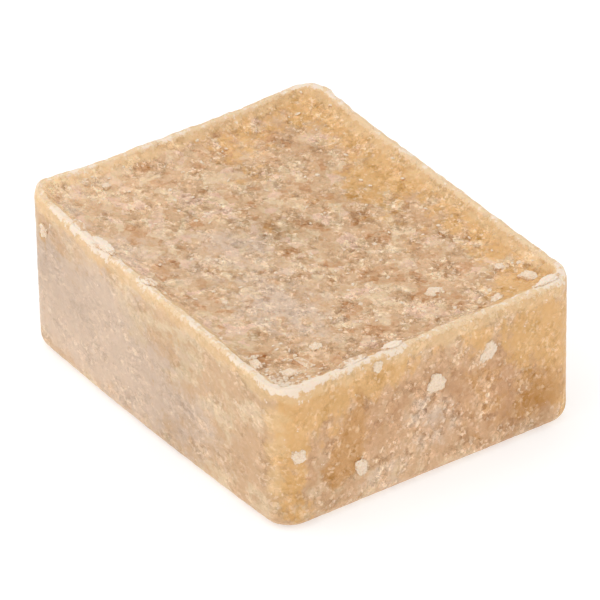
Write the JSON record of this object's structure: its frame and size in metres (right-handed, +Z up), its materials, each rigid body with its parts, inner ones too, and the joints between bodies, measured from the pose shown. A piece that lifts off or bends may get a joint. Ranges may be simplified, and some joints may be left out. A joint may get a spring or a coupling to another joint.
{
  "type": "rosin cake",
  "caption": "Bare oblong cake of cloudy honey-coloured rosin with a dished pour surface, raised crumbly rim, rounded corners and pale crystalline flakes bedded in it.",
  "frame": {"origin": "centre of the flat underside, where the cake rests", "axes": "+X along the long side, +Y along the short side, +Z up out of the dished pour surface"},
  "size_m": [0.0317, 0.0253, 0.013],
  "materials": {
    "cast_resin": "cloudy, waxy cast resin with a granular crystalline grain, amber where it is clear and pinkish grey where it is frosted",
    "pale_flake": "dull off-white crystallised resin",
    "rim_bloom": "thin powdery white crust along the crest of the rim"
  },
  "bodies": {
    "root": {"cake_body": "cast_resin", "end_flake_broad": "pale_flake", "end_flake_ragged": "pale_flake", "end_flake_round": "pale_flake", "end_flake_faint": "pale_flake", "end_flake_under_rim": "pale_flake", "front_flake_upper": "pale_flake", "pour_flake_tall": "pale_flake", "pour_flake_edge": "pale_flake", "pour_flake_slim": "pale_flake", "pour_flake_pale": "pale_flake", "pour_flake_streak": "pale_flake", "pour_flake_grain": "pale_flake", "pour_flake_wedge": "pale_flake", "pour_flake_narrow": "pale_flake", "corner_crumb_inner": "pale_flake", "corner_crumb_middle": "pale_flake", "corner_crumb_outer": "pale_flake", "rim_crust_front_thick": "rim_bloom", "rim_crust_front_thin": "rim_bloom", "rim_crust_front_mid": "rim_bloom", "rim_crust_end_long": "rim_bloom", "rim_crust_end_mid": "rim_bloom", "rim_crust_end_corner": "rim_bloom"}
  },
  "joints": []
}
